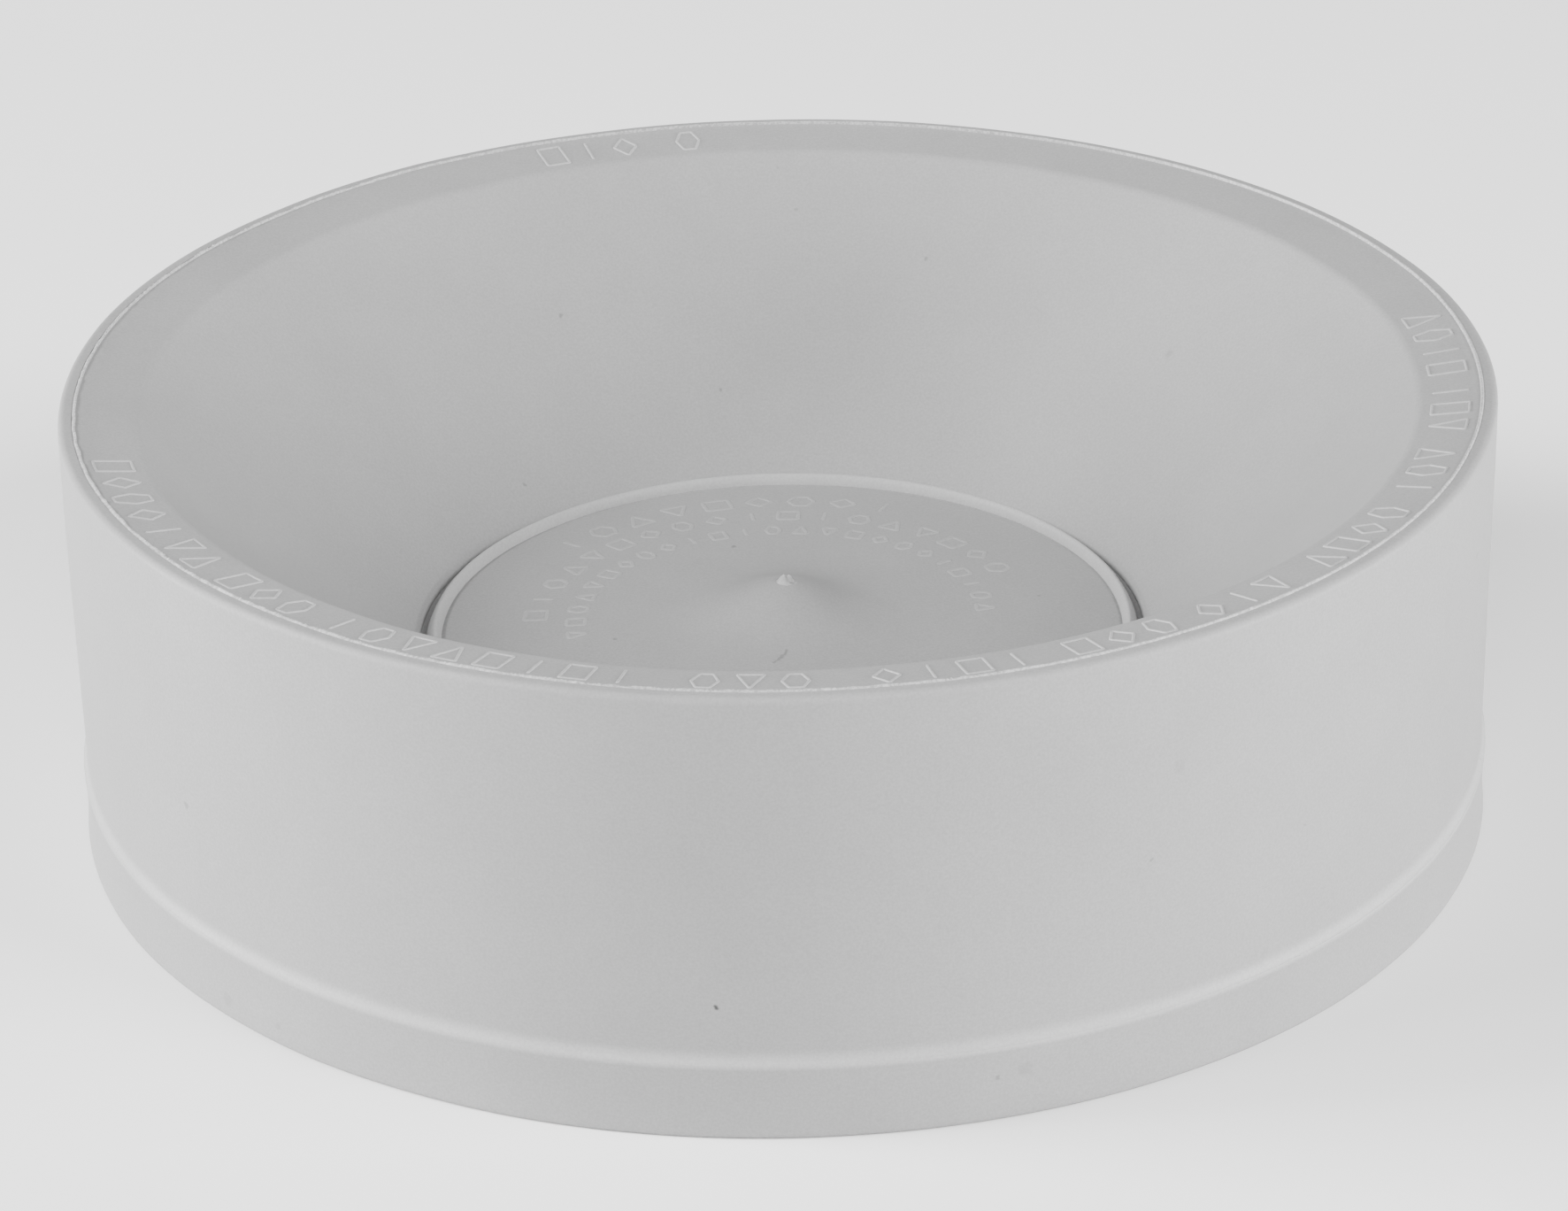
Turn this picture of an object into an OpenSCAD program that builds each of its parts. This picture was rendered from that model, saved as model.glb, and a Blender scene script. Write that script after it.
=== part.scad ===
// Pipe cap of soft moulded rubber: a skirt grips the outside of a pipe end, a rim band joins it
// to a funnel that hangs inside the pipe, and a domed disc inside a cutting groove closes the funnel.
// Millimetres, +Z up. The origin is on the axis, at the level of the skirt's lower edge.

/* [Outer skirt] */
// Outer radius at the rim
rim_r = 60; // [59:0.5:62]
// Level of the top of the rim, without its flash
rim_z = 38.2; // [38:0.1:40]
// How much narrower the skirt is just above the hem than at the rim
skirt_taper = 0.35; // [0.2:0.05:0.6]
// Inner radius of the skirt between its ribs
skirt_bore_r = 56.2; // [55.8:0.1:57]
// Height of the thicker hem
hem_h = 6.6; // [5:0.1:8]
// Radius of the hem's upper outside edge
ledge_edge_r = 0.1; // [0.05:0.05:0.2]
// Height over which the skirt flares out to the hem
ledge_flare_h = 1.3; // [0.5:0.1:1.5]
// Radius of the rounded lower outside edge
hem_edge_r = 0.4; // [0.2:0.1:1]
// Depth of the hem's shallow waist, half way up its outside
hem_waist = 0.15; // [0:0.05:0.3]

/* [Pipe socket] */
// Radius of the land that grips a pipe of 110 mm outside diameter
land_r = 54.75; // [54.4:0.05:54.9]
// Height of the lead-in chamfer under the land
lead_in_h = 1.5; // [1:0.1:2.5]
// Radial width of the lead-in chamfer
lead_in_w = 1.25; // [0.8:0.05:1.5]
// Level of the face that the pipe end stops against
pipe_stop_z = 32.6; // [31:0.1:33]
// Level of the lower inner sealing rib
lower_rib_z = 15.5; // [12:0.5:17]
// Level of the upper inner sealing rib
upper_rib_z = 23.5; // [21:0.5:26]
// Height of a sealing rib where it leaves the skirt
rib_h = 2.4; // [1.6:0.1:3]

/* [Rim] */
// Radius of the rounded outer edge
rim_edge_r = 0.6; // [0.4:0.1:1]
// Radius of the parting flash on the rim
flash_r = 58.7; // [58.3:0.1:58.7]
// Width of the parting flash
flash_w = 0.3; // [0.2:0.05:0.5]
// Height of the flash above the rim
flash_h = 0.15; // [0.1:0.05:0.4]
// Width of the flash at its top
flash_tip_w = 0.1; // [0.05:0.05:0.2]
// Depth of the flash's root under the top of the rim
flash_root = 0.4; // [0.3:0.05:0.6]
// Radius of the inner edge of the marking band
band_inner_r = 53.5; // [53:0.1:54]
// Drop of the marking band from the rim to its inner edge
band_drop = 0.8; // [0.5:0.1:1.2]
// Drop of the marking band from the rim to the flash
band_step = 0.1; // [0:0.05:0.2]

/* [Funnel] */
// Radius of the funnel's foot, where the cutting groove starts
foot_r = 30.9; // [30.8:0.1:31.5]
// Level of the funnel's foot
foot_z = 14.8; // [14.6:0.1:15.4]
// Wall thickness of the funnel
funnel_t = 2.0; // [1.6:0.1:2.2]
// Level of the underside of the lip and of the web
lip_bottom_z = 12.6; // [12.4:0.1:12.8]
// Width of the lip
lip_w = 2; // [1.8:0.1:2.2]
// Chamfer on the lip's lower outside edge
lip_chamfer = 0.4; // [0.2:0.1:0.6]
// Thickness of the web where it reaches under the disc
web_t = 0.4; // [0.3:0.1:0.5]
// How far the web reaches inwards under the disc's edge
web_lap = 0.8; // [0.6:0.1:1]
// Level of the bottom of the groove, between the disc and the funnel's foot
groove_z = 14.1; // [13.5:0.1:14.3]
// How far the bottom of the groove climbs towards the funnel's foot
groove_climb = 0.35; // [0:0.05:0.4]
// Gap between the disc and the web beside it
web_gap = 0.05; // [0.05:0.05:0.1]

/* [Closing disc] */
// Outside radius of the disc's upper edge
disc_r = 30.3; // [30:0.1:30.4]
// Outside radius of the disc at the bottom of the groove
disc_foot_r = 30.5; // [30.4:0.1:30.6]
// Width of the bead on the disc's edge
bead_w = 1.2; // [0.8:0.1:1.3]
// Height of the bead above the disc's edge
bead_h = 0.85; // [0.5:0.05:1]
// Thickness of the disc at its edge
disc_edge_t = 1.85; // [1.5:0.05:2]
// Width of the flat ring between the web and the hollow of the underside
disc_land_w = 0.6; // [0.4:0.1:1]
// Rise of the broad dome
dome_rise = 1.4; // [1:0.1:2.5]
// Extra rise of the hump under the gate
hump_rise = 3; // [2:0.1:3.5]
// Spread of that hump
hump_spread = 5.5; // [4.5:0.1:7]
// Share of that hump that shows on the underside
underside_share = 0.4; // [0.2:0.1:0.6]
// Radius of the gate vestige
gate_r = 0.75; // [0.4:0.05:0.8]
// Height of the gate vestige
gate_h = 0.9; // [0.5:0.1:1.2]
// Radius at the top of the gate vestige, as a share of its radius
gate_taper = 0.6; // [0.4:0.1:0.8]

/* [Raised marks] */
// Height of the raised marks
mark_h = 0.15; // [0.1:0.05:0.25]
// Angle between neighbouring marks on the band
band_pitch = 3.5; // [3:0.1:3.8]
// Width of a mark on the band
band_mark_w = 0.4; // [0.3:0.05:0.6]
// Length of a long mark on the band
long_mark = 3.4; // [3:0.1:3.8]
// Length of a short mark on the band
short_mark = 2.2; // [1.5:0.1:2.8]
// Gap between the flash and the marks on the band
mark_margin = 0.7; // [0.5:0.1:1]
// Width of a mark on the disc
disc_mark_w = 0.35; // [0.3:0.05:0.5]

/* [Hidden] */
$fn = 128;

grey = "#b9b9b9";
light_grey = "#c6c6c6";

skirt_foot_r = rim_r - skirt_taper;
flash_in_r = flash_r - flash_w / 2;
flash_out_r = flash_r + flash_w / 2;
edge_centre = [rim_r - rim_edge_r, rim_z - rim_edge_r];
flash_base_z = rim_z - flash_root;
band_outer_z = rim_z - band_step;
band_inner_z = rim_z - band_drop;

// The funnel's inner face runs from its foot to the band's inner edge.
slope = (band_inner_z - foot_z) / (band_inner_r - foot_r);
slope_angle = atan(slope);
wall_drop = funnel_t / cos(slope_angle);
stop_inner_r = foot_r + (pipe_stop_z + wall_drop - foot_z) / slope;
lip_top_r = foot_r + lip_w;

disc_bottom_z = lip_bottom_z + web_t;
disc_edge_z = disc_bottom_z + disc_edge_t;
bead_in_r = disc_r - bead_w;
web_in_r = disc_r - web_lap;
underside_r = web_in_r - disc_land_w;
underside_hump = underside_share * hump_rise;
disc_steps = 16;

// Groups of marks round the band: first angle and number of marks
band_groups = [[-165, 7], [-139, 3], [-127, 8], [-96, 3], [-82, 4], [-66, 3], [-54, 3],
               [-41, 4], [-25, 3], [-12, 3], [0, 4], [98, 1], [104, 3]];

// Arcs of marks on the disc: step of its outline, first angle, last angle and number of marks
disc_arcs = [[9, 4, 188, 24], [11, 27, 175, 18], [13, 68, 138, 9]];

// Level of the funnel's inner face at radius r
function funnel_z(r) = foot_z + (r - foot_r) * slope;

// Level of the marking band's upper face at radius r
function band_z(r) = band_inner_z + (r - band_inner_r) * (band_outer_z - band_inner_z)
    / (flash_in_r - band_inner_r);

// Level of the disc's upper face at radius r: a broad dome with a hump under the gate
function disc_z(r) = disc_edge_z + dome_rise * (1 - (r / bead_in_r) ^ 2)
    + hump_rise * exp(-((r / hump_spread) ^ 2));

// Level of the disc's hollow underside at radius r
function underside_z(r) = disc_bottom_z + dome_rise * (1 - (r / underside_r) ^ 2)
    + underside_hump * exp(-((r / hump_spread) ^ 2));

// Radii at which the disc's outline has a corner, from the gate to the bead
disc_radii = [for (i = [0 : disc_steps]) gate_r + (bead_in_r - gate_r) * i / disc_steps];

// A ring about Z with the given outline
module ring(outline) {
    rotate_extrude() polygon(outline);
}

// A raised tile between two radii, resting on a straight stretch of the surface beneath it
module mark_tile(r1, z1, r2, z2, width, at) {
    span = width / ((r1 + r2) / 2) * 180 / PI;
    rotate([0, 0, at - span / 2])
        rotate_extrude(angle = span)
            polygon([[r1, z1], [r2, z2], [r2, z2 + mark_h], [r1, z1 + mark_h]]);
}

module skirt_wall() {
    color(light_grey)
        ring([[skirt_bore_r, hem_h], [rim_r - ledge_edge_r, hem_h],
              [skirt_foot_r, hem_h + ledge_flare_h], [rim_r, pipe_stop_z],
              [skirt_bore_r, pipe_stop_z]]);
}

module skirt_hem() {
    waist_span = hem_h - ledge_edge_r - hem_edge_r;
    color(light_grey)
        ring(concat(
            [[land_r + lead_in_w, 0], [rim_r - hem_edge_r, 0]],
            [for (a = [-75 : 15 : 0])
                [rim_r - hem_edge_r + hem_edge_r * cos(a), hem_edge_r + hem_edge_r * sin(a)]],
            [for (i = [1 : 7])
                [rim_r - hem_waist * sin(180 * i / 8), hem_edge_r + waist_span * i / 8]],
            [for (a = [0 : 30 : 90])
                [rim_r - ledge_edge_r + ledge_edge_r * cos(a),
                 hem_h - ledge_edge_r + ledge_edge_r * sin(a)]],
            [[land_r, hem_h], [land_r, lead_in_h]]));
}

// A rounded rib inside the skirt, centred on the given level, as deep as the land
module sealing_rib(level) {
    depth = skirt_bore_r - land_r;
    color(grey)
        ring([for (a = [-90 : 15 : 90])
            [skirt_bore_r - depth * cos(a), level + rib_h / 2 * sin(a)]]);
}

module sealing_rib_lower() {
    sealing_rib(lower_rib_z);
}

module sealing_rib_upper() {
    sealing_rib(upper_rib_z);
}

module rim_edge() {
    color(light_grey)
        ring(concat(
            [[flash_out_r, pipe_stop_z], [rim_r, pipe_stop_z]],
            [for (a = [0 : 15 : 90])
                [edge_centre[0] + rim_edge_r * cos(a), edge_centre[1] + rim_edge_r * sin(a)]],
            [[flash_out_r, rim_z]]));
}

module rim_flash() {
    color("#d8d8d8")
        ring([[flash_in_r, flash_base_z], [flash_out_r, flash_base_z],
              [flash_out_r, rim_z], [flash_r + flash_tip_w / 2, rim_z + flash_h],
              [flash_r - flash_tip_w / 2, rim_z + flash_h], [flash_in_r, band_outer_z]]);
}

module marking_band() {
    color(grey)
        ring([[stop_inner_r, pipe_stop_z], [flash_out_r, pipe_stop_z], [flash_out_r, flash_base_z],
              [flash_in_r, flash_base_z], [flash_in_r, band_outer_z],
              [band_inner_r, band_inner_z]]);
}

// Groups of raised index bars around the band, every third one shorter
module band_marks() {
    outer = flash_in_r - mark_margin;
    color("#d8d8d8")
        for (group = band_groups, i = [0 : group[1] - 1]) {
            inner = outer - (i % 3 == 1 ? short_mark : long_mark);
            mark_tile(inner, band_z(inner), outer, band_z(outer), band_mark_w,
                      group[0] + i * band_pitch);
        }
}

module funnel_wall() {
    cut = funnel_t * [sin(slope_angle), -cos(slope_angle)];
    color(grey)
        ring([[lip_top_r, funnel_z(lip_top_r)], [lip_top_r, funnel_z(lip_top_r)] + cut,
              [stop_inner_r, pipe_stop_z], [band_inner_r, band_inner_z]]);
}

module groove_lip() {
    cut = funnel_t * [sin(slope_angle), -cos(slope_angle)];
    color(grey)
        ring([[foot_r, lip_bottom_z], [lip_top_r - lip_chamfer, lip_bottom_z],
              [lip_top_r, lip_bottom_z + lip_chamfer],
              [lip_top_r, funnel_z(lip_top_r)] + cut, [lip_top_r, funnel_z(lip_top_r)],
              [foot_r, foot_z]]);
}

module groove_web() {
    color("#8c8c8c")
        ring([[web_in_r, lip_bottom_z], [foot_r, lip_bottom_z], [foot_r, groove_z + groove_climb],
              [disc_foot_r + web_gap, groove_z], [disc_foot_r + web_gap, disc_bottom_z],
              [web_in_r, disc_bottom_z]]);
}

module closing_disc() {
    color(grey)
        ring(concat(
            [for (i = [0 : disc_steps]) [underside_r * i / disc_steps,
                                         underside_z(underside_r * i / disc_steps)]],
            [[disc_foot_r, disc_bottom_z], [disc_r, disc_edge_z]],
            [for (i = [disc_steps : -1 : 0]) [disc_radii[i], disc_z(disc_radii[i])]],
            [[0, disc_z(gate_r)]]));
}

module disc_bead() {
    centre_r = disc_r - bead_w / 2;
    color(light_grey)
        ring([for (a = [0 : 15 : 180])
            [centre_r + bead_w / 2 * cos(a), disc_edge_z + bead_h * sin(a)]]);
}

module gate_vestige() {
    color(light_grey)
        translate([0, 0, disc_z(gate_r)])
            cylinder(r1 = gate_r, r2 = gate_r * gate_taper, h = gate_h, $fn = 24);
}

// Three arcs of short raised bars on the half of the disc that faces +Y
module disc_marks() {
    color("#d8d8d8")
        for (arc = disc_arcs, i = [0 : arc[3] - 1]) {
            first = disc_radii[arc[0]];
            last = disc_radii[arc[0] + 1];
            pitch = (arc[2] - arc[1]) / (arc[3] - 1);
            mark_tile(first, disc_z(first), last, disc_z(last), disc_mark_w, arc[1] + i * pitch);
        }
}

skirt_wall();
skirt_hem();
sealing_rib_lower();
sealing_rib_upper();
rim_edge();
rim_flash();
marking_band();
band_marks();
funnel_wall();
groove_lip();
groove_web();
closing_disc();
disc_bead();
gate_vestige();
disc_marks();
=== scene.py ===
import math

import bpy
import numpy as np
from mathutils import Matrix, Vector

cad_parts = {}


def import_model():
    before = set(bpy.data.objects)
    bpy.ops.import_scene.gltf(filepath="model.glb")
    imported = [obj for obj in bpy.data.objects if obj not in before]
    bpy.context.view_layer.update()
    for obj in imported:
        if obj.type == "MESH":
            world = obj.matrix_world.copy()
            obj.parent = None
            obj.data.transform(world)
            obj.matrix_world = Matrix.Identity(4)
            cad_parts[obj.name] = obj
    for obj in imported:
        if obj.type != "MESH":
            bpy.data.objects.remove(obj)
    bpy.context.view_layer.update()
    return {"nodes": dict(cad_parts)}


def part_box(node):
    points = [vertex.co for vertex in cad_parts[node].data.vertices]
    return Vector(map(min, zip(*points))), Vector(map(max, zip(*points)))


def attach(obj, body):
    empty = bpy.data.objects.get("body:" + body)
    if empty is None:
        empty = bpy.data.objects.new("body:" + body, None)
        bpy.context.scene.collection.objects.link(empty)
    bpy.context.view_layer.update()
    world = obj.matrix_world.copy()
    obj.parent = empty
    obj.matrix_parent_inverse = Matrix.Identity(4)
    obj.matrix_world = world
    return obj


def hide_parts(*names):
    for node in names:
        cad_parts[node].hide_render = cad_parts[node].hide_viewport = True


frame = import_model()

# A pipe cap of soft grey rubber: skirt, rim, funnel and a closing disc in a cutting groove.
# Outlines are (radius, level) in millimetres about the Z axis; a mesh is turned into metres as it is made.

MM = 0.001


# ---------------------------------------------------------------- sizes, from the frame and by name

def low(node):
    """Lowest corner of a CAD node's box, in millimetres."""
    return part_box(node)[0] / MM


def high(node):
    """Highest corner of a CAD node's box, in millimetres."""
    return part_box(node)[1] / MM


rim_r = high("skirt_wall").x
rim_z = high("rim_edge").z
height = high("rim_flash").z
hem_h = high("skirt_hem").z
stop_z = high("skirt_wall").z
flash_out_r = high("rim_flash").x
band_inner_z = high("funnel_wall").z
lip_bottom_z = low("groove_lip").z
foot_r = high("groove_web").x
disc_bottom_z = low("closing_disc").z
disc_foot_r = high("closing_disc").x
disc_r = high("disc_bead").x
disc_edge_z = low("disc_bead").z
bead_top_z = high("disc_bead").z
dome_top_z = high("closing_disc").z
lip_top_z = high("groove_lip").z
mark_h = 0.09

skirt_taper = 0.35
skirt_bore_r = 56.2
ledge_flare_h = 1.3
ledge_edge_r = 0.1
hem_edge_r = 0.4
hem_waist = 0.15
land_r = 54.75
lead_in_h = 1.5
lead_in_w = 1.25
rim_edge_r = 0.6
flash_w = 0.3
flash_root = 0.4
web_gap = 0.05
groove_climb = 0.35
band_inner_r = 53.5
band_corner_r = 1.3
funnel_t = 2.0
lip_corner_r = 0.8
bead_w = 1.2
gate_r = high("gate_vestige").x
dome_rise = 1.4
hump_spread = 5.5

wall_cut = funnel_t / math.sqrt(2)
lip_top_r = high("groove_lip").x - wall_cut
flash_in_r = flash_out_r - flash_w
flash_mid_r = flash_out_r - flash_w / 2
band_outer_z = rim_z - 0.1
foot_z = lip_top_z - (lip_top_r - foot_r)
stop_inner_r = foot_r + stop_z + funnel_t * math.sqrt(2) - foot_z
bead_in_r = disc_r - bead_w
web_in_r = disc_r - 0.8
underside_r = web_in_r - 0.6
hump_rise = dome_top_z - disc_edge_z - dome_rise


def disc_z(r):
    """Level of the disc's upper face: a broad dome with a hump under the gate."""
    dome = dome_rise * (1 - (r / bead_in_r) ** 2)
    hump = hump_rise * np.exp(-((r / hump_spread) ** 2))
    return disc_edge_z + dome + hump


def underside_z(r):
    """Level of the disc's hollow underside."""
    return (disc_bottom_z + dome_rise * (1 - (r / underside_r) ** 2)
            + 0.4 * hump_rise * np.exp(-((r / hump_spread) ** 2)))


def band_z(r):
    """Level of the marking band."""
    return band_inner_z + (r - band_inner_r) * (band_outer_z - band_inner_z) / (flash_in_r - band_inner_r)


# ---------------------------------------------------------------- outlines

def fillet(before, corner, after, radius, steps=8):
    """Points of the arc that rounds a corner."""
    b, c, a = (np.array(p, float) for p in (before, corner, after))
    to_b, to_a = (b - c) / np.linalg.norm(b - c), (a - c) / np.linalg.norm(a - c)
    half = math.acos(np.clip(to_b @ to_a, -1, 1)) / 2
    middle = (to_b + to_a) / np.linalg.norm(to_b + to_a)
    centre = c + middle * radius / math.sin(half)
    start, end = c + to_b * radius / math.tan(half) - centre, c + to_a * radius / math.tan(half) - centre
    turn = math.acos(np.clip(start @ end / radius ** 2, -1, 1))
    side = 1 if start[0] * end[1] - start[1] * end[0] > 0 else -1
    points = []
    for i in range(steps + 1):
        c_i, s_i = math.cos(side * turn * i / steps), math.sin(side * turn * i / steps)
        points.append(tuple(centre + [start[0] * c_i - start[1] * s_i, start[0] * s_i + start[1] * c_i]))
    return points


def rounded(corners, radii):
    """A closed outline with each corner rounded by its own radius; 0 leaves it sharp."""
    points = []
    for i, (corner, radius) in enumerate(zip(corners, radii)):
        before, after = corners[i - 1], corners[(i + 1) % len(corners)]
        points += fillet(before, corner, after, radius) if radius else [corner]
    return points


def spaced(outline, gap):
    """The outline with points added, so that no step is longer than gap."""
    points = []
    for i, p in enumerate(outline):
        q = outline[(i + 1) % len(outline)]
        if p[0] == 0 and q[0] == 0:
            points.append(p)
            continue
        steps = max(1, math.ceil(math.dist(p, q) / gap))
        points += [(p[0] + (q[0] - p[0]) * k / steps, p[1] + (q[1] - p[1]) * k / steps) for k in range(steps)]
    return points


# ---------------------------------------------------------------- meshes

rng = np.random.default_rng(7)
WAVES = 28
wave_lengths = rng.uniform(7, 34, WAVES)
wave_ways = rng.normal(size=(WAVES, 3))
wave_ways /= np.linalg.norm(wave_ways, axis=1)[:, None]
wave_phases = rng.uniform(0, 2 * math.pi, (WAVES, 2))
SETTLE = 0.035


def settle(points):
    """Shrinks points inwards by up to a tenth of a millimetre, unevenly, as soft rubber does in its mould."""
    turns = points @ (wave_ways / wave_lengths[:, None]).T * 2 * math.pi
    share = wave_lengths / wave_lengths.max() / math.sqrt(WAVES) * 1.6
    inward = np.clip((np.sin(turns + wave_phases[:, 0]) * share).sum(1), -1, 1) - 1
    down = np.clip((np.sin(turns + wave_phases[:, 1]) * share).sum(1), -1, 1) - 1
    radius = np.maximum(np.hypot(points[:, 0], points[:, 1]), 1e-6)
    moved = points.copy()
    pull = SETTLE * inward * np.minimum(radius / 10, 1) / radius
    moved[:, 0] += points[:, 0] * pull
    moved[:, 1] += points[:, 1] * pull
    moved[:, 2] += SETTLE * down * points[:, 2] / height
    return moved


def add_mesh(name, points, faces, body, material, node=None, sharp=38):
    """A piece of the object from points in millimetres, riding on a body and standing for a CAD node."""
    mesh = bpy.data.meshes.new(name)
    mesh.from_pydata((settle(np.asarray(points, float)) * MM).tolist(), [], faces)
    mesh.validate()
    mesh.shade_smooth()
    mesh.set_sharp_from_angle(angle=math.radians(sharp))
    piece = bpy.data.objects.new(name, mesh)
    bpy.context.scene.collection.objects.link(piece)
    mesh.materials.append(material)
    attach(piece, body)
    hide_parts(node or name)
    return piece


def turned(outline, segments, shape=None):
    """Points and faces of a closed ring or disc of revolution. shape may move the points of one angle."""
    outline = np.array(outline, float)
    following = np.roll(outline, -1, 0)
    if (outline[:, 0] * following[:, 1] - following[:, 0] * outline[:, 1]).sum() < 0:
        outline = outline[::-1]
    poles = outline[:, 0] < 1e-9
    count = len(outline)
    points, faces, index = [], [], np.zeros((segments, count), int)
    for k in range(count):
        if poles[k]:
            index[:, k] = len(points)
            points.append((0, 0, outline[k, 1]))
    base = len(points)
    ring = np.flatnonzero(~poles)
    for s in range(segments):
        angle = 2 * math.pi * s / segments
        section = outline[ring] if shape is None else shape(outline[ring], angle)
        index[s, ring] = base + s * len(ring) + np.arange(len(ring))
        points += [(r * math.cos(angle), r * math.sin(angle), z) for r, z in section]
    for s in range(segments):
        t = (s + 1) % segments
        for k in range(count):
            n = (k + 1) % count
            if poles[k] and poles[n]:
                continue
            face = [index[s, k], index[t, k], index[t, n], index[s, n]]
            if poles[k]:
                face = [index[s, k], index[t, n], index[s, n]]
            elif poles[n]:
                face = [index[s, k], index[t, k], index[s, n]]
            faces.append([int(i) for i in face])
    return points, faces


SEGMENTS = 360


# ---------------------------------------------------------------- material

def rubber(name, grey, roughness, bump, blemishes=(), grain_depth=0.07, painted_ledge_highlight=0.0):
    """Matt moulded rubber: mottled grey, fine grain, scattered dark specks and faint scuffs.
    A blemish is (place, size, darkness), in millimetres. The last argument is a painted highlight:
    how much paler the rubber is painted on the flare above the ledge and just below it."""
    material = bpy.data.materials.new(name)
    material.use_nodes = True
    tree = material.node_tree
    nodes, links = tree.nodes, tree.links
    shader = nodes["Principled BSDF"]
    place = nodes.new("ShaderNodeTexCoord").outputs["Object"]

    def noise(size, detail, rough=0.5, distortion=0.0):
        node = nodes.new("ShaderNodeTexNoise")
        node.inputs["Scale"].default_value = 1 / size
        node.inputs["Detail"].default_value = detail
        node.inputs["Roughness"].default_value = rough
        node.inputs["Distortion"].default_value = distortion
        links.new(place, node.inputs["Vector"])
        return node.outputs["Fac"]

    def spread(value, from_low, from_high, to_low, to_high):
        node = nodes.new("ShaderNodeMapRange")
        node.interpolation_type = "SMOOTHSTEP"
        for socket, number in zip(("From Min", "From Max", "To Min", "To Max"),
                                  (from_low, from_high, to_low, to_high)):
            node.inputs[socket].default_value = number
        links.new(value, node.inputs["Value"])
        return node.outputs["Result"]

    def math_node(kind, a, b):
        node = nodes.new("ShaderNodeMath")
        node.operation = kind
        for socket, value in zip(node.inputs, (a, b)):
            if isinstance(value, (int, float)):
                socket.default_value = value
            else:
                links.new(value, socket)
        return node.outputs["Value"]

    mottle = spread(noise(0.022, 3), 0.3, 0.7, 0.975, 1.02)
    cloud = spread(noise(0.0045, 4, 0.6), 0.3, 0.7, 0.985, 1.012)
    grain = spread(noise(0.00022, 2, 0.6), 0.25, 0.75, 1 - grain_depth, 1 + grain_depth)
    shade = math_node("MULTIPLY", math_node("MULTIPLY", mottle, cloud), grain)

    # Painted highlight: the rubber is painted paler on the ledge's flare and just below it, where light
    # catches the ledge.
    if painted_ledge_highlight:
        parts = nodes.new("ShaderNodeSeparateXYZ")
        links.new(place, parts.inputs["Vector"])
        above = spread(parts.outputs["Z"], (hem_h + 0.1) * MM, (hem_h + ledge_flare_h) * MM, 1, 0)
        below = spread(parts.outputs["Z"], (hem_h - 0.6) * MM, (hem_h - 0.1) * MM, 0, 1)
        pale = math_node("MULTIPLY", math_node("MULTIPLY", above, below), painted_ledge_highlight)
        shade = math_node("MULTIPLY", shade, math_node("ADD", 1, pale))

    cells = nodes.new("ShaderNodeTexVoronoi")
    cells.inputs["Scale"].default_value = 1 / 0.0075
    links.new(place, cells.inputs["Vector"])
    speck = spread(cells.outputs["Distance"], 0.014, 0.03, 1, 0)
    chosen = nodes.new("ShaderNodeSeparateColor")
    links.new(cells.outputs["Color"], chosen.inputs["Color"])
    picked = spread(chosen.outputs["Red"], 0.55, 0.95, 0, 1)
    speck = math_node("MULTIPLY", speck, picked)
    shade = math_node("MULTIPLY", shade, math_node("SUBTRACT", 1, math_node("MULTIPLY", speck, 0.3)))

    stretched = nodes.new("ShaderNodeMapping")
    stretched.inputs["Scale"].default_value = (1, 1, 0.25)
    links.new(place, stretched.inputs["Vector"])
    scuffs = nodes.new("ShaderNodeTexNoise")
    scuffs.inputs["Scale"].default_value = 1 / 0.006
    scuffs.inputs["Detail"].default_value = 6
    scuffs.inputs["Roughness"].default_value = 0.7
    links.new(stretched.outputs["Vector"], scuffs.inputs["Vector"])
    scuff = spread(scuffs.outputs["Fac"], 0.62, 0.72, 0, 1)
    shade = math_node("MULTIPLY", shade, math_node("SUBTRACT", 1, math_node("MULTIPLY", scuff, 0.012)))

    wander = nodes.new("ShaderNodeTexNoise")
    wander.inputs["Scale"].default_value = 1 / 0.0006
    links.new(place, wander.inputs["Vector"])
    moved = nodes.new("ShaderNodeVectorMath")
    moved.operation = "MULTIPLY_ADD"
    links.new(wander.outputs["Color"], moved.inputs[0])
    moved.inputs[1].default_value = (0.0005, 0.0005, 0.0005)
    links.new(place, moved.inputs[2])
    for spot, size, darkness in blemishes:
        away = nodes.new("ShaderNodeVectorMath")
        away.operation = "DISTANCE"
        links.new(moved.outputs["Vector"], away.inputs[0])
        away.inputs[1].default_value = [c * MM + 0.00025 for c in spot]
        shade = math_node("MULTIPLY", shade,
                          spread(away.outputs["Value"], size * 0.4 * MM, size * MM, 1 - darkness, 1))

    colour = nodes.new("ShaderNodeCombineColor")
    value = math_node("MULTIPLY", shade, grey)
    for socket in ("Red", "Green", "Blue"):
        links.new(value, colour.inputs[socket])
    links.new(colour.outputs["Color"], shader.inputs["Base Color"])

    gloss = math_node("ADD", spread(noise(0.009, 3), 0.3, 0.7, roughness - 0.04, roughness + 0.04),
                      math_node("MULTIPLY", scuff, 0.06))
    links.new(gloss, shader.inputs["Roughness"])
    shader.inputs["Specular IOR Level"].default_value = 0.35
    shader.inputs["IOR"].default_value = 1.48

    relief = math_node("ADD", noise(0.0002, 3, 0.65), math_node("MULTIPLY", noise(0.0014, 2), 0.9))
    relief = math_node("SUBTRACT", relief, math_node("MULTIPLY", speck, 0.5))
    bumps = nodes.new("ShaderNodeBump")
    bumps.inputs["Strength"].default_value = 1
    bumps.inputs["Distance"].default_value = bump
    links.new(relief, bumps.inputs["Height"])
    links.new(bumps.outputs["Normal"], shader.inputs["Normal"])
    return material


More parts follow.
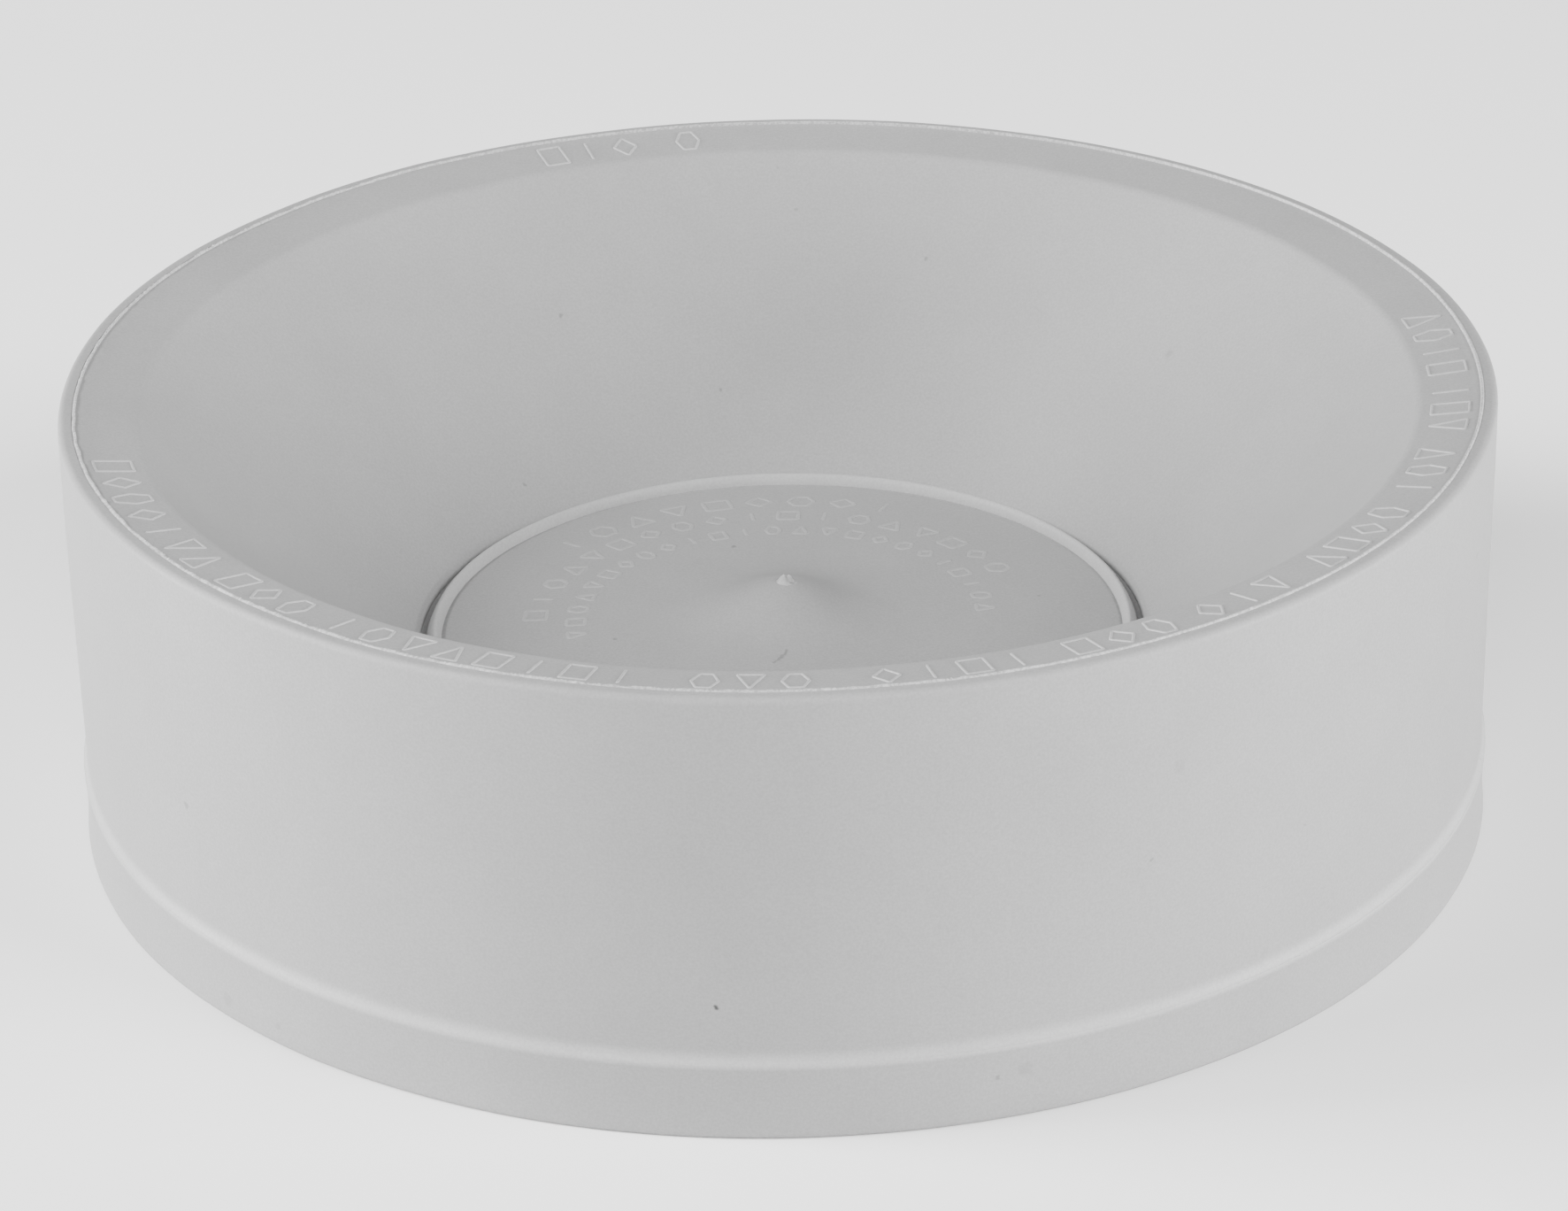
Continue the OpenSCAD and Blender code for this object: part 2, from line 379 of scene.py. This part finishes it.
def around(r, degrees, z):
    """A place by its radius, its angle from +X and its level."""
    a = math.radians(degrees)
    return (r * math.cos(a), r * math.sin(a), z)


def on_wall(degrees, z):
    return around(rim_r - skirt_taper / 2, degrees, z)


def on_funnel(r, degrees):
    return around(r, degrees, band_inner_z - (band_inner_r - r))


def on_disc(r, degrees):
    return around(r, degrees, float(disc_z(r)))


wall_blemishes = [
    (on_wall(-95.4, 11.5), 0.36, 0.85), (on_wall(-143, 17.6), 0.42, 0.3), (on_wall(-59.6, 27.5), 0.8, 0.08),
    (on_wall(-72.3, 4.2), 0.8, 0.1), (on_wall(-74.5, 3.8), 0.3, 0.3), (on_wall(-139, 1.7), 0.8, 0.12),
    (on_wall(-133, 1.7), 0.45, 0.14), (on_wall(-19, 29.5), 0.4, 0.16), (on_wall(-62, 20.1), 0.22, 0.25),
    (on_wall(-47, 18), 0.22, 0.22), (on_wall(-51, 8), 0.6, 0.06)]
funnel_blemishes = [
    (on_funnel(43.9, 37.7), 0.5, 0.16), (on_funnel(46.3, 72.7), 0.26, 0.3),
    (on_funnel(43.6, 116.5), 0.26, 0.3), (on_funnel(37, 98), 0.24, 0.3),
    (on_funnel(52.3, 89.5), 0.24, 0.24), (on_funnel(33.5, 132.6), 0.24, 0.3),
    (on_funnel(49.4, 87.6), 0.22, 0.22)]
FIBRE = 9
disc_blemishes = [(on_disc(14.6, 106), 0.3, 0.35), (on_disc(14.7, -165), 0.3, 0.3)] + [
    (on_disc(7.9 + 0.21 * i, -87.5 - 0.4 * i - 0.06 * i * i), 0.24, 0.28) for i in range(FIBRE)]

# Raised lines, thin edges, the bead and the nub are given a paler grey than the rest of the moulding: painted
# highlights where light catches them. The groove's web is painted paler too: painted light against the shade
# at the bottom of the groove.
CAP_GREY = 0.27
skin = rubber("cap_rubber_skin", CAP_GREY, 0.56, 0.000012)
wall_skin = rubber("wall_rubber_skin", CAP_GREY, 0.56, 0.000012, wall_blemishes, painted_ledge_highlight=0.32)
# Painted light: the groove's web is painted half again as pale, to lift the shade at the bottom of the
# groove.
web_painted_light_skin = rubber("web_rubber_painted_light", CAP_GREY * 1.5, 0.56, 0.000012)
funnel_skin = rubber("funnel_rubber_skin", CAP_GREY, 0.56, 0.000012, funnel_blemishes)
disc_skin = rubber("disc_rubber_skin", CAP_GREY * 0.97, 0.58, 0.000014, disc_blemishes)
nub_painted_highlight_skin = rubber("nub_rubber_painted_highlight", CAP_GREY * 1.3, 0.5, 0.00001)
bead_painted_highlight_skin = rubber("bead_rubber_painted_highlight", CAP_GREY * 1.32, 0.52, 0.00001)
mark_painted_highlight_skin = rubber("mark_rubber_painted_highlight", CAP_GREY * 1.28, 0.48, 0.000006)
flash_painted_highlight_skin = rubber("flash_rubber_painted_highlight", CAP_GREY * 1.4, 0.45, 0.000006, grain_depth=0.3)
disc_mark_painted_highlight_skin = rubber("disc_mark_rubber_painted_highlight", CAP_GREY * 1.1, 0.5, 0.00001)


# ---------------------------------------------------------------- the cap's rings

def ring_piece(name, outline, body="cap", material=skin, gap=1.0, segments=SEGMENTS):
    points, faces = turned(spaced(outline, gap), segments)
    return add_mesh(name, points, faces, body, material)


foot_of_wall = rim_r - skirt_taper


def skirt_wall():
    top = (rim_r, stop_z)
    flare = []
    for i in range(11):
        share = i / 10
        flare.append((foot_of_wall + (skirt_taper - ledge_edge_r / 2) * share ** 3,
                      hem_h + ledge_flare_h * (1 - share)))
    ring_piece("skirt_wall", [top] + flare + [(skirt_bore_r, hem_h), (skirt_bore_r, stop_z)],
               material=wall_skin)


def skirt_hem():
    corners = [(rim_r, hem_h), (land_r, hem_h), (land_r, lead_in_h), (land_r + lead_in_w, 0), (rim_r, 0)]
    inside = rounded(corners, [ledge_edge_r, 0.25, 0.3, 0.2, hem_edge_r])
    steps = 14
    start_z, end_z = hem_edge_r, hem_h - ledge_edge_r
    waist = [(rim_r - hem_waist * math.sin(math.pi * i / steps), start_z + (end_z - start_z) * i / steps)
             for i in range(1, steps)]
    ring_piece("skirt_hem", inside + waist, material=wall_skin)


def sealing_rib(name):
    level, half = (high(name).z + low(name).z) / 2, (high(name).z - low(name).z) / 2
    depth = skirt_bore_r - land_r
    outline = [(skirt_bore_r - depth * math.cos(math.radians(a)), level + half * math.sin(math.radians(a)))
               for a in range(-90, 91, 9)]
    ring_piece(name, outline, gap=0.6)


def rim_edge():
    """A flat land outside the flash and the small outer edge."""
    centre_r, centre_z = rim_r - rim_edge_r, rim_z - rim_edge_r
    arc = [(centre_r + rim_edge_r * math.cos(a), centre_z + rim_edge_r * math.sin(a))
           for a in np.linspace(0, math.pi / 2, 13)]
    ring_piece("rim_edge", [(flash_out_r, stop_z), (rim_r, stop_z)] + arc + [(flash_out_r, rim_z)], gap=0.8)


def rim_flash():
    """The parting flash: a thin wall whose top is beaded, most of all at the front left."""
    flash_segments, worst_angle = 2400, math.radians(205)
    random = np.random.default_rng(11)
    full_turn, wave_count = 2 * math.pi, 8
    fine = [(random.uniform(0, full_turn), int(random.integers(380, 720)), random.uniform(0.5, 1))
            for _ in range(wave_count)]
    coarse = [(random.uniform(0, full_turn), int(random.integers(20, 140)), random.uniform(0.3, 1))
              for _ in range(wave_count)]

    def waves(parts, angle):
        total = sum(size * math.sin(count * angle + phase) for phase, count, size in parts)
        return total / sum(size for _, _, size in parts)

    def ragged(section, angle):
        worn = 0.5 + 0.5 * math.cos(angle - worst_angle)
        worn = 0.12 + 0.88 * worn ** 1.5
        fall = min(0.85, abs(2.2 * worn * waves(fine, angle)) + 0.5 * worn * abs(waves(coarse, angle)))
        rise = np.clip((section[:, 1] - band_outer_z) / (height - band_outer_z), 0, 1)
        section = section.copy()
        section[:, 1] -= rise * fall * 0.6 * (height - band_outer_z)
        section[:, 0] -= rise * 0.12 * worn * (1 + waves(coarse, angle))
        return section

    base_z, half_tip = rim_z - flash_root, 0.07
    corners = [(flash_in_r, base_z), (flash_out_r, base_z), (flash_out_r, rim_z),
               (flash_mid_r + half_tip, height), (flash_mid_r - half_tip, height), (flash_in_r, band_outer_z)]
    outline = spaced(rounded(corners, [0, 0, 0, 0.05, 0.05, 0]), 0.1)
    points, faces = turned(outline, flash_segments, ragged)
    add_mesh("rim_flash", points, faces, "cap", flash_painted_highlight_skin, sharp=60)


SEAM_STEPS = 16
HALF_SEAM = SEAM_STEPS // 2
seam_arc = fillet((flash_in_r, band_outer_z), (band_inner_r, band_inner_z), (foot_r, foot_z),
                  band_corner_r, SEAM_STEPS)


def marking_band():
    base_z = rim_z - flash_root
    ring_piece("marking_band", [(stop_inner_r, stop_z), (flash_out_r, stop_z), (flash_out_r, base_z),
                                (flash_in_r, base_z), (flash_in_r, band_outer_z)] + seam_arc[:HALF_SEAM + 1])


def funnel_wall():
    ring_piece("funnel_wall", [(lip_top_r, lip_top_z), (lip_top_r + wall_cut, lip_top_z - wall_cut),
                               (stop_inner_r, stop_z)] + seam_arc[HALF_SEAM:], material=funnel_skin)


def groove_lip():
    corners = [(foot_r, lip_bottom_z), (lip_top_r, lip_bottom_z),
               (lip_top_r + wall_cut, lip_top_z - wall_cut), (lip_top_r, lip_top_z), (foot_r, foot_z)]
    ring_piece("groove_lip", rounded(corners, [0, 0.5, 0, 0, lip_corner_r]), gap=0.4)


def groove_web():
    """The web under the disc's edge and, beside it, the floor of the groove."""
    beside_r, groove_top_z = disc_foot_r + web_gap, high("groove_web").z
    ring_piece("groove_web", [(web_in_r, lip_bottom_z), (foot_r, lip_bottom_z), (foot_r, groove_top_z),
                              (beside_r, groove_top_z - groove_climb), (beside_r, disc_bottom_z),
                              (web_in_r, disc_bottom_z)], material=web_painted_light_skin, gap=0.4)


# ---------------------------------------------------------------- the closing disc

def closing_disc():
    notch_w, notch_d = 0.1, 0.02
    shoulder_z = disc_edge_z - 0.45
    under = [(r, underside_z(r)) for r in np.linspace(0, underside_r, 60)]
    over = [(r, disc_z(r)) for r in np.linspace(bead_in_r - notch_w, 0, 80)]
    outline = (under + [(disc_foot_r - 0.15, disc_bottom_z), (disc_foot_r, disc_bottom_z + 0.1),
                        (disc_foot_r, shoulder_z), (disc_r + 0.08, disc_edge_z - 0.1), (disc_r, disc_edge_z),
                        (bead_in_r, disc_edge_z), (bead_in_r - notch_w * 0.4, disc_edge_z - notch_d)] + over)
    outline = [(float(r), float(z)) for r, z in outline]
    points, faces = turned(spaced(outline, 0.5), SEGMENTS)
    add_mesh("closing_disc", points, faces, "cut_out_disc", disc_skin)


def disc_bead():
    """A rounded ridge whose longer flank falls towards the groove."""
    rise = bead_top_z - disc_edge_z
    outline = []
    for share in np.linspace(0, 1, 26):
        swell = max(0.0, math.sin(math.pi * share ** 0.9))
        outline.append((float(bead_in_r + bead_w * share), disc_edge_z + rise * swell ** 0.9))
    points, faces = turned(spaced(outline, 0.3), SEGMENTS)
    add_mesh("disc_bead", points, faces, "cut_out_disc", bead_painted_highlight_skin)


def gate_vestige():
    """The torn nub: two lumps with a saddle between them and a steep side where it broke off."""
    offset, reach, rings, sides = 0.46, 1.0, 16, 56
    lumps = [(-0.36, -0.12, 0.34, 0.52), (0.30, 0.16, 0.27, 0.44), (0.0, 0.02, 0.36, 0.22),
             (-0.15, -0.3, 0.22, 0.18)]
    pit = (0.42, -0.16, 0.13, 0.34)
    torn = np.random.default_rng(3)

    def rise(x, y):
        total = sum(tall * math.exp(-(((x - cx) ** 2 + (y - cy) ** 2) / wide ** 2) ** 1.3)
                    for cx, cy, wide, tall in lumps)
        total -= pit[3] * math.exp(-((x - pit[0]) ** 2 + (y - pit[1]) ** 2) / pit[2] ** 2)
        return total

    points, faces = [(offset, 0, float(disc_z(offset)) + rise(0, 0))], []
    for i in range(1, rings + 1):
        share = i / rings
        for k in range(sides):
            a = 2 * math.pi * k / sides
            r = reach * share * (1 + 0.06 * math.sin(3 * a + 1) + 0.04 * math.sin(7 * a))
            x, y = r * math.cos(a), r * math.sin(a) * 0.8
            sink = 0.04 if share > 0.9 else 0.0
            z = float(disc_z(math.hypot(offset + x, y))) + rise(x, y)
            z += torn.normal() * 0.012 * (1 - share) - sink
            points.append((offset + x, y, z))
    foot = len(points)
    points += [(x, y, z - 0.35) for x, y, z in points[foot - sides:foot]]
    points.append((offset, 0, float(disc_z(offset)) - 0.45))
    for k in range(sides):
        n = (k + 1) % sides
        faces.append([0, 1 + k, 1 + n])
        for i in range(rings):
            lower = 1 + i * sides
            faces.append([lower + k, lower + sides + k, lower + sides + n, lower + n])
        faces.append([foot + k, len(points) - 1, foot + n])
    add_mesh("gate_vestige", points, faces, "cut_out_disc", nub_painted_highlight_skin, sharp=70)


# ---------------------------------------------------------------- raised marks

def mark_angles(node, from_r, to_r):
    """Middle angles of a CAD node's marks whose points lie between two radii, in radians."""
    co = np.array([v.co for v in frame["nodes"][node].data.vertices]) / MM
    r = np.hypot(co[:, 0], co[:, 1])
    angles = np.sort(np.arctan2(co[:, 1], co[:, 0])[(r > from_r) & (r < to_r)])
    between_marks = math.radians(1.7)
    groups = np.split(angles, np.flatnonzero(np.diff(angles) > between_marks) + 1)
    if angles[0] + 2 * math.pi - angles[-1] < between_marks:
        groups[0] = np.concatenate([groups.pop() - 2 * math.pi, groups[0]])
    return [float((g[0] + g[-1]) / 2) for g in groups]


def shape_path(kind, width, tall):
    """The line of one plain mark, across and up, and whether it closes."""
    w, h = width / 2, tall / 2
    if kind == "diamond":
        return [(-w, 0), (0, h), (w, 0), (0, -h)], True
    if kind == "triangle":
        return [(-w, -h), (w, -h), (0, h)], True
    if kind == "turned_triangle":
        return [(-w, h), (w, h), (0, -h)], True
    if kind == "box":
        return [(-w, -h), (w, -h), (w, h), (-w, h)], True
    if kind == "hexagon":
        return [(-w, 0), (-w / 2, h), (w / 2, h), (w, 0), (w / 2, -h), (-w / 2, -h)], True
    return [(0, -h), (0, h)], False


def ridge(path, closed, line_w, rise, place):
    """A rounded raised line along a path of (across, up) points.
    place turns (across, up, above) into a point."""
    step = line_w * 0.35
    dense = []
    legs = len(path) if closed else len(path) - 1
    for i in range(legs):
        p, q = np.array(path[i], float), np.array(path[(i + 1) % len(path)], float)
        steps = max(2, math.ceil(np.linalg.norm(q - p) / step))
        dense += [p + (q - p) * k / steps for k in range(steps)]
    if not closed:
        dense.append(np.array(path[-1], float))
    dense = np.array(dense)
    if closed:
        for _ in range(2):
            dense = (np.roll(dense, 1, 0) + 2 * dense + np.roll(dense, -1, 0)) / 4
        ways = np.roll(dense, -1, 0) - np.roll(dense, 1, 0)
    else:
        ways = np.gradient(dense, axis=0)
    ways /= np.linalg.norm(ways, axis=1)[:, None]
    sides = np.stack([-ways[:, 1], ways[:, 0]], 1)
    across = [-0.5, -0.44, -0.25, 0, 0.25, 0.44, 0.5]
    above = [-0.12, 0.35, 0.85, 1, 0.85, 0.35, -0.12]
    points, faces, count = [], [], len(dense)
    for i in range(count):
        end = 1.0 if closed else min(1.0, 0.25 + 0.6 * min(i, count - 1 - i))
        points += [place(*(dense[i] + sides[i] * line_w * end * s), rise * h * end)
                   for s, h in zip(across, above)]
    for i in range(count if closed else count - 1):
        a, b = i * 7, (i + 1) % count * 7
        faces += [[a + k, b + k, b + (k + 1) % 7, a + (k + 1) % 7] for k in range(7)]
    if not closed:
        faces.append(list(range(7)))
        faces.append([(count - 1) * 7 + k for k in range(6, -1, -1)])
    return points, faces


def on_surface(angle, middle_r, level):
    """Places mark points on a face of revolution, upright when seen from the axis outwards."""
    def place(across, up, above):
        r = middle_r - up
        a = angle + across / r
        return (r * math.cos(a), r * math.sin(a), float(level(r)) + above)
    return place


def marks(name, body, material, placed):
    """One piece of many raised lines. placed holds (path, closed, line width, rise, place)."""
    points, faces = [], []
    for one in placed:
        p, f = ridge(*one)
        faces += [[i + len(points) for i in face] for face in f]
        points += p
    add_mesh(name, points, faces, body, material, sharp=75)


KINDS = ["box", "diamond", "bar", "triangle", "hexagon",
         "box", "turned_triangle", "diamond", "bar", "hexagon"]


def band_marks():
    middle_r, tall = flash_in_r - 2.4, 3.1
    placed = []
    for i, angle in enumerate(mark_angles("band_marks", middle_r + 1, flash_in_r)):
        path, closed = shape_path(KINDS[(i * 7 + i // 5) % len(KINDS)], 2.1, tall)
        placed.append((path, closed, 0.27, mark_h, on_surface(angle, middle_r, band_z)))
    marks("band_marks", "cap", mark_painted_highlight_skin, placed)


def disc_marks():
    step = (bead_in_r - gate_r) / 16
    placed = []
    for row, (first_step, tall, wide) in enumerate(((9, 1.6, 1.3), (11, 1.9, 1.8), (13, 2.2, 2.3))):
        middle_r = gate_r + step * (first_step + 0.5)
        for i, angle in enumerate(mark_angles("disc_marks", middle_r - step, middle_r + step)):
            path, closed = shape_path(KINDS[(i * 3 + row * 4) % len(KINDS)], wide, tall)
            placed.append((path, closed, 0.42, mark_h * 0.6, on_surface(angle, middle_r, disc_z)))
    marks("disc_marks", "cut_out_disc", disc_mark_painted_highlight_skin, placed)


skirt_wall()
skirt_hem()
sealing_rib("sealing_rib_lower")
sealing_rib("sealing_rib_upper")
rim_edge()
rim_flash()
marking_band()
funnel_wall()
groove_lip()
groove_web()
closing_disc()
disc_bead()
gate_vestige()
band_marks()
disc_marks()


# ---------------------------------------------------------------- floor, light and camera

def floor():
    material = bpy.data.materials.new("pale_floor")
    material.use_nodes = True
    tree = material.node_tree
    shader = tree.nodes["Principled BSDF"]
    shader.inputs["Base Color"].default_value = (0.93, 0.93, 0.93, 1)
    shader.inputs["Roughness"].default_value = 0.9
    shader.inputs["Specular IOR Level"].default_value = 0.1
    half = 4.0
    mesh = bpy.data.meshes.new("floor")
    corners = [(-half, -half, 0), (half, -half, 0), (half, half, 0), (-half, half, 0)]
    mesh.from_pydata(corners, [], [(0, 1, 2, 3)])
    mesh.materials.append(material)
    plane = bpy.data.objects.new("floor", mesh)
    bpy.context.scene.collection.objects.link(plane)


def softbox(name, azimuth, elevation, distance, wide, tall, power):
    """A large soft light that faces the cap. Azimuth is in degrees from +X towards +Y."""
    a, e = math.radians(azimuth), math.radians(elevation)
    spot = Vector((math.cos(a) * math.cos(e), math.sin(a) * math.cos(e), math.sin(e))) * distance
    light = bpy.data.lights.new(name, "AREA")
    light.shape = "RECTANGLE"
    light.size, light.size_y = wide, tall
    light.energy = power
    lamp = bpy.data.objects.new(name, light)
    lamp.location = spot + Vector((0, 0, 0.02))
    lamp.rotation_mode = "QUATERNION"
    lamp.rotation_quaternion = (-spot).to_track_quat("-Z", "Y")
    bpy.context.scene.collection.objects.link(lamp)


def world(strength):
    shell = bpy.data.worlds.new("studio")
    shell.use_nodes = True
    shell.node_tree.nodes["Background"].inputs["Color"].default_value = (1, 1, 1, 1)
    shell.node_tree.nodes["Background"].inputs["Strength"].default_value = strength
    bpy.context.scene.world = shell


def camera():
    data = bpy.data.cameras.new("camera")
    data.lens, data.sensor_width = 135, 36
    data.clip_start, data.clip_end = 0.01, 50
    eye = bpy.data.objects.new("camera", data)
    elevation, roll, distance = math.radians(25.84), math.radians(-1.15), 0.5015
    aim = Vector((0.0002, 0, 0.01685))
    back = Vector((0, -math.cos(elevation), math.sin(elevation)))
    right, up = Vector((1, 0, 0)), Vector((0, math.sin(elevation), math.cos(elevation)))
    x = right * math.cos(roll) + up * math.sin(roll)
    y = up * math.cos(roll) - right * math.sin(roll)
    turn = Matrix((x, y, back)).transposed().to_4x4()
    turn.translation = aim + back * distance
    eye.matrix_world = turn
    bpy.context.scene.collection.objects.link(eye)
    bpy.context.scene.camera = eye


floor()
LIGHT = 20
FILL = 0.08
BOX_AWAY, BOX_SIZE = 1.2, 0.4
for box_name, azimuth, elevation, share in (
        ("left_low", 180, 8, 1.56), ("left_high", 180, 38, 0.72), ("left_front", 200, 38, 0.49),
        ("front", -90, 38, 0.35), ("right_low", -12, 8, 1.48), ("right_front", -35, 38, 0.74)):
    softbox(box_name, azimuth, elevation, BOX_AWAY, BOX_SIZE, BOX_SIZE, share * LIGHT)
world(FILL)
camera()
